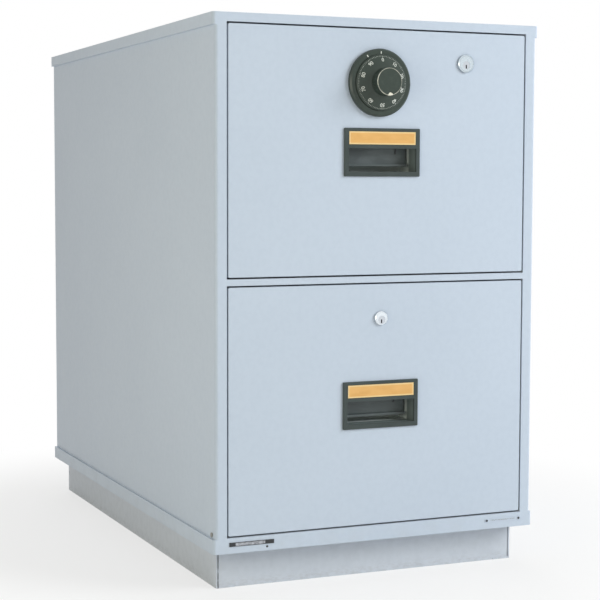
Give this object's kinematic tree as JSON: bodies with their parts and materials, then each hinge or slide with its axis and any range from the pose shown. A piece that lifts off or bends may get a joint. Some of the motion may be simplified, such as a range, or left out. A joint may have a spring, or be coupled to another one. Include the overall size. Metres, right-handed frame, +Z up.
{
  "type": "fire-resistant filing cabinet",
  "caption": "Fire-resistant vertical filing cabinet with insulated drawers, recessed latch handles, key locks, a combination dial and a plinth.",
  "frame": {"origin": "on the floor, in the middle of the overall box, the dial knob included", "axes": "+Z up, +X to the right seen from the front, +Y from the drawer fronts to the back"},
  "size_m": [0.451, 0.771, 0.705],
  "materials": {
    "cabinet_paint": "satin powder coat",
    "plinth_paint": "satin powder coat",
    "liner_paint": "satin",
    "mineral_filling": "coarse, cast mineral",
    "slide_steel": "zinc plated",
    "bright_steel": "zinc plated",
    "strip_aluminium": "satin anodised",
    "seal_rubber": "matt",
    "handle_plastic": "fine moulded grain",
    "lever_metal": "satin black, die cast",
    "label_card": "matt card",
    "lock_chrome": "polished",
    "dial_black": "satin black",
    "lock_metal": "die cast",
    "lock_brass": "turned"
  },
  "bodies": {
    "cabinet": {"front_frame": "cabinet_paint", "top_cap": "cabinet_paint", "bottom_tray": "cabinet_paint", "left_side_panel": "cabinet_paint", "right_side_panel": "cabinet_paint", "back_panel": "cabinet_paint", "upper_liner": "liner_paint", "lower_liner": "liner_paint", "cabinet_insulation": "mineral_filling", "plinth_front_rail": "plinth_paint", "plinth_back_rail": "plinth_paint", "plinth_left_rail": "plinth_paint", "plinth_right_rail": "plinth_paint", "plinth_bolts": "bright_steel", "upper_outer_slides": "slide_steel", "lower_outer_slides": "slide_steel", "lock_keepers": "bright_steel", "trim_strip": "strip_aluminium", "name_plate": "bright_steel", "frame_screws": "bright_steel"},
    "upper_drawer": {"upper_front_pan": "cabinet_paint", "upper_head_insulation": "mineral_filling", "upper_back_pan": "liner_paint", "upper_seal": "seal_rubber", "upper_tray": "liner_paint", "upper_tray_screws": "bright_steel", "upper_inner_slides": "slide_steel", "upper_handle_housing": "handle_plastic", "upper_label_card": "label_card", "upper_lock_barrel": "lock_chrome", "upper_lever_spring": "bright_steel", "dial_ring": "dial_black", "lock_case": "lock_metal", "lock_cover": "bright_steel"},
    "lower_drawer": {"lower_front_pan": "cabinet_paint", "lower_head_insulation": "mineral_filling", "lower_back_pan": "liner_paint", "lower_seal": "seal_rubber", "lower_tray": "liner_paint", "lower_tray_screws": "bright_steel", "lower_inner_slides": "slide_steel", "lower_handle_housing": "handle_plastic", "lower_label_card": "label_card", "lower_lock_barrel": "lock_chrome", "lower_lever_spring": "bright_steel"},
    "upper_middle_members": {"upper_middle_slides": "slide_steel"},
    "upper_lever": {"upper_latch_lever": "lever_metal"},
    "upper_latch": {"upper_catch": "bright_steel"},
    "upper_key": {"upper_key_plug": "lock_chrome"},
    "lower_middle_members": {"lower_middle_slides": "slide_steel"},
    "lower_lever": {"lower_latch_lever": "lever_metal"},
    "lower_latch": {"lower_catch": "bright_steel"},
    "lower_key": {"lower_key_plug": "lock_chrome"},
    "dial": {"combination_dial": "dial_black", "dial_spindle": "bright_steel"},
    "lock_wheel_one": {"wheel_one": "lock_brass"},
    "lock_wheel_two": {"wheel_two": "lock_brass"},
    "lock_wheel_three": {"wheel_three": "lock_brass"},
    "bolt": {"lock_bolt": "lock_brass", "lock_lever": "lock_brass"}
  },
  "joints": [
    {"name": "upper_drawer_slide", "type": "slide", "parent": "cabinet", "child": "upper_drawer", "axis": [0, -1, 0], "range_m": [0, 0.56]},
    {"name": "upper_middle_slide", "type": "slide", "parent": "cabinet", "child": "upper_middle_members", "axis": [0, -1, 0], "range_m": [0, 0.28]},
    {"name": "upper_lever_pivot", "type": "hinge", "parent": "upper_drawer", "child": "upper_lever", "pos_m": [0, -0.333, 0.551], "axis": [1, 0, 0], "range_deg": [0, 14]},
    {"name": "upper_catch_slide", "type": "slide", "parent": "upper_drawer", "child": "upper_latch", "axis": [0, 0, 1], "range_m": [0, 0.00544]},
    {"name": "upper_key_turn", "type": "hinge", "parent": "upper_drawer", "child": "upper_key", "pos_m": [0.118, -0.3545, 0.6514], "axis": [0, 1, 0], "range_deg": [0, 90]},
    {"name": "lower_drawer_slide", "type": "slide", "parent": "cabinet", "child": "lower_drawer", "axis": [0, -1, 0], "range_m": [0, 0.56]},
    {"name": "lower_middle_slide", "type": "slide", "parent": "cabinet", "child": "lower_middle_members", "axis": [0, -1, 0], "range_m": [0, 0.28]},
    {"name": "lower_lever_pivot", "type": "hinge", "parent": "lower_drawer", "child": "lower_lever", "pos_m": [0, -0.333, 0.2345], "axis": [1, 0, 0], "range_deg": [0, 14]},
    {"name": "lower_catch_slide", "type": "slide", "parent": "lower_drawer", "child": "lower_latch", "axis": [0, 0, 1], "range_m": [0, 0.00544]},
    {"name": "lower_key_turn", "type": "hinge", "parent": "lower_drawer", "child": "lower_key", "pos_m": [0, -0.3545, 0.3305], "axis": [0, 1, 0], "range_deg": [0, 90]},
    {"name": "dial_turn", "type": "hinge", "parent": "upper_drawer", "child": "dial", "pos_m": [-0.005, -0.3545, 0.626], "axis": [0, 1, 0], "continuous": true},
    {"name": "wheel_one_turn", "type": "hinge", "parent": "upper_drawer", "child": "lock_wheel_one", "pos_m": [-0.005, -0.2665, 0.626], "axis": [0, 1, 0], "continuous": true},
    {"name": "wheel_two_turn", "type": "hinge", "parent": "upper_drawer", "child": "lock_wheel_two", "pos_m": [-0.005, -0.2625, 0.626], "axis": [0, 1, 0], "continuous": true},
    {"name": "wheel_three_turn", "type": "hinge", "parent": "upper_drawer", "child": "lock_wheel_three", "pos_m": [-0.005, -0.2585, 0.626], "axis": [0, 1, 0], "continuous": true},
    {"name": "bolt_slide", "type": "slide", "parent": "upper_drawer", "child": "bolt", "axis": [0, 0, 1], "range_m": [0, 0.0065]}
  ],
  "couplings": [
    {"joint": "upper_middle_slide", "follows": "upper_drawer_slide", "ratio": 0.5},
    {"joint": "upper_lever_pivot", "follows": "upper_catch_slide", "rad_per_m": 44.89},
    {"joint": "lower_middle_slide", "follows": "lower_drawer_slide", "ratio": 0.5},
    {"joint": "lower_lever_pivot", "follows": "lower_catch_slide", "rad_per_m": 44.89}
  ]
}
